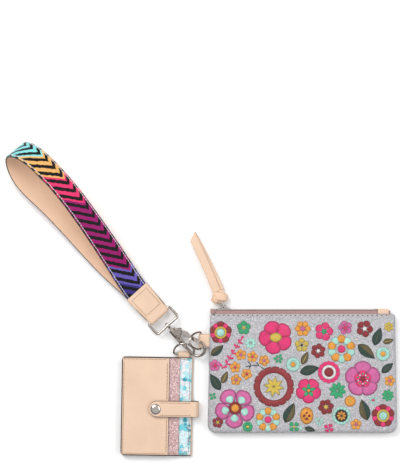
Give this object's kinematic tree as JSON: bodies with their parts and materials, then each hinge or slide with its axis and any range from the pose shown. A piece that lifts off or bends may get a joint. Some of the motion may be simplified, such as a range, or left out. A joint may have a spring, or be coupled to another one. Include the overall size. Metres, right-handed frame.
{
  "type": "wristlet wallet",
  "caption": "Zip pouch with raised flower embroidery, joined by a swivel clip and D-rings to a snap-closed card case and a looped wrist strap.",
  "frame": {"origin": "centre of the pouch back face, which lies on the table", "axes": "+X along the zip towards its closed-off end, +Y from the pouch bottom towards the zip, +Z out of the embroidered front"},
  "size_m": [0.4048, 0.3255, 0.0515],
  "materials": {
    "pouch_cloth": "sparkle woven cloth",
    "lining": "plain weave",
    "zip_tape": "woven tape",
    "zip_metal": "polished",
    "leather": "natural, matte grain",
    "flower_thread": "raised satin stitch",
    "leaf_thread": "raised satin stitch",
    "nickel": "polished",
    "spring_steel": "wire",
    "ribbon": "printed zebra weave",
    "holographic": "crackled holographic film",
    "glitter": "fine glitter"
  },
  "bodies": {
    "pouch": {"pouch_front_panel": "pouch_cloth", "pouch_back_panel": "pouch_cloth", "pouch_lining_front": "lining", "pouch_lining_back": "lining", "zip_tape_front": "zip_tape", "zip_tape_back": "zip_tape", "zip_teeth_front": "zip_metal", "zip_teeth_back": "zip_metal", "zip_top_stop": "zip_metal", "zip_bottom_stop": "zip_metal", "zip_end_tab_right": "leather", "zip_end_tab_left": "leather", "pouch_side_tab": "leather", "embroidered_flowers": "flower_thread", "embroidered_leaves": "leaf_thread"},
    "slider": {"zip_slider": "zip_metal"},
    "pull": {"pull_ring": "nickel", "pull_knot": "leather", "pull_strip_front": "leather", "pull_strip_back": "leather"},
    "pouch_ring": {"pouch_d_ring": "nickel"},
    "clip": {"clip_body": "nickel", "clip_gate_pin": "nickel", "clip_gate_spring": "spring_steel"},
    "gate": {"clip_gate": "nickel"},
    "swivel": {"swivel_eye": "nickel"},
    "strap_ring": {"rectangular_ring": "nickel"},
    "strap": {"strap_band": "leather", "strap_ribbon": "ribbon", "strap_end_tab": "leather"},
    "card_ring": {"card_d_ring": "nickel"},
    "card": {"card_back_panel": "leather", "card_pocket_holographic": "holographic", "card_pocket_glitter": "glitter", "card_pocket_front": "leather", "card_ring_tab": "leather", "card_strap_anchor": "leather", "snap_post": "nickel", "snap_stud": "nickel"},
    "card_snap": {"card_snap_strap": "leather", "snap_cap": "nickel", "snap_socket": "nickel"}
  },
  "joints": [
    {"name": "zip_slide", "type": "slide", "parent": "pouch", "child": "slider", "axis": [1, 0, 0], "range_m": [0, 0.15]},
    {"name": "pull_swing", "type": "hinge", "parent": "slider", "child": "pull", "pos_m": [-0.0818, 0.06915, 0.0055], "axis": [0, 0, 1], "range_deg": [-68, 5]},
    {"name": "pouch_ring_lift", "type": "hinge", "parent": "pouch", "child": "pouch_ring", "pos_m": [-0.1052, 0.0344, 0.0055], "axis": [0, 1, 0], "range_deg": [0, 20]},
    {"name": "clip_sway", "type": "hinge", "parent": "pouch_ring", "child": "clip", "pos_m": [-0.10896, 0.02442, 0.00969], "axis": [0, 0, 1], "range_deg": [-3, 3]},
    {"name": "gate_press", "type": "hinge", "parent": "clip", "child": "gate", "pos_m": [-0.12723, 0.04511, 0.00987], "axis": [0.2706, 0.2471, -0.9304], "range_deg": [0, 12], "stiffness_Nm_per_rad": 0.004, "springref_deg": -20.05},
    {"name": "swivel_turn", "type": "hinge", "parent": "clip", "child": "swivel", "pos_m": [-0.1416, 0.0523, 0.0076], "axis": [0.6743, -0.7385, 0], "continuous": true},
    {"name": "strap_ring_swing", "type": "hinge", "parent": "swivel", "child": "strap_ring", "pos_m": [-0.13958, 0.05008, 0.0076], "axis": [0.7385, 0.6743, 0], "range_deg": [-12, 12]},
    {"name": "strap_swing", "type": "hinge", "parent": "strap_ring", "child": "strap", "pos_m": [-0.14908, 0.0605, 0.0076], "axis": [0.7385, 0.6743, 0], "range_deg": [-12, 12]},
    {"name": "card_ring_sway", "type": "hinge", "parent": "clip", "child": "card_ring", "pos_m": [-0.11394, 0.02339, 0.00797], "axis": [0, 0, 1], "range_deg": [-3, 3]},
    {"name": "card_swing", "type": "hinge", "parent": "card_ring", "child": "card", "pos_m": [-0.12295, 0.02062, 0.0028], "axis": [0.9998, -0.0175, 0], "range_deg": [-52, 4]},
    {"name": "card_snap_open", "type": "hinge", "parent": "card", "child": "card_snap", "pos_m": [-0.1136, -0.03675, 0.01], "axis": [0.0175, 0.9998, 0], "range_deg": [0, 100]}
  ]
}
